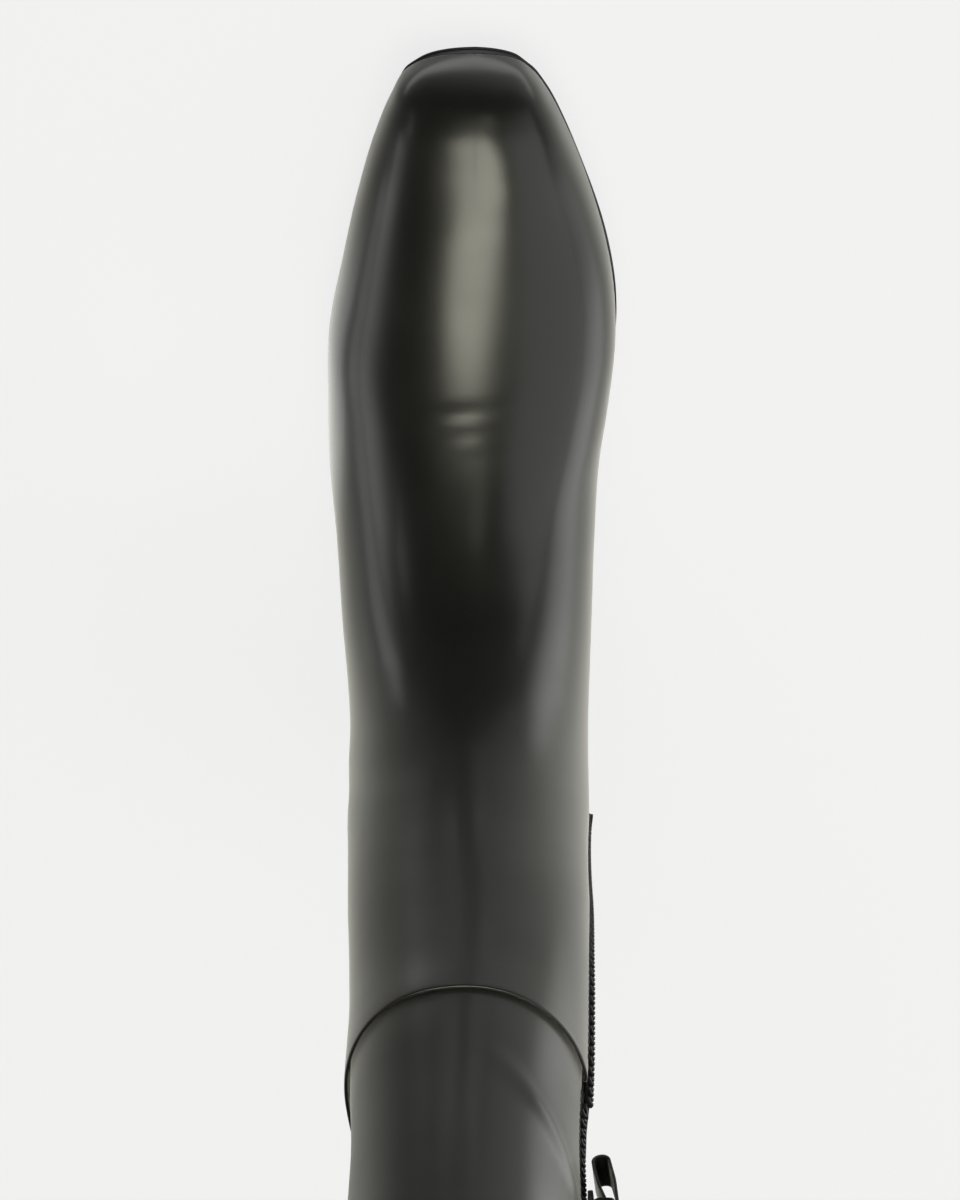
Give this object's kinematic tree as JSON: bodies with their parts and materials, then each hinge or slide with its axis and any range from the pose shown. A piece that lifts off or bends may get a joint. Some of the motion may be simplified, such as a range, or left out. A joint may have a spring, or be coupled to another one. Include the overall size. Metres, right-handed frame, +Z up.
{
  "type": "slouch boot",
  "caption": "Tall black leather boot with a soft square toe, a rolled slouch tuck round the shaft, an inner side zip with a leather pull loop and a low block heel.",
  "frame": {"origin": "on the floor under the middle of the heel block, on the axis of the last", "axes": "+Z up, -Y toward the toe, -X toward the inner (medial) side where the zip is"},
  "size_m": [0.0932, 0.2987, 0.3861],
  "materials": {
    "black_leather": "polished smooth leather",
    "black_rubber": "matt",
    "dark_lining": "plain lining",
    "black_tape": "woven tape",
    "black_teeth": "moulded teeth",
    "black_slider": "black enamel"
  },
  "bodies": {
    "root": {"upper": "black_leather", "outsole": "black_rubber", "heel_block": "black_rubber", "insole": "dark_lining", "zip_tape_lower": "black_tape", "zip_tape_upper": "black_tape", "zip_chain_lower": "black_teeth", "zip_chain_upper": "black_teeth", "zip_slider": "black_slider", "pull_loop": "black_leather"}
  },
  "joints": []
}
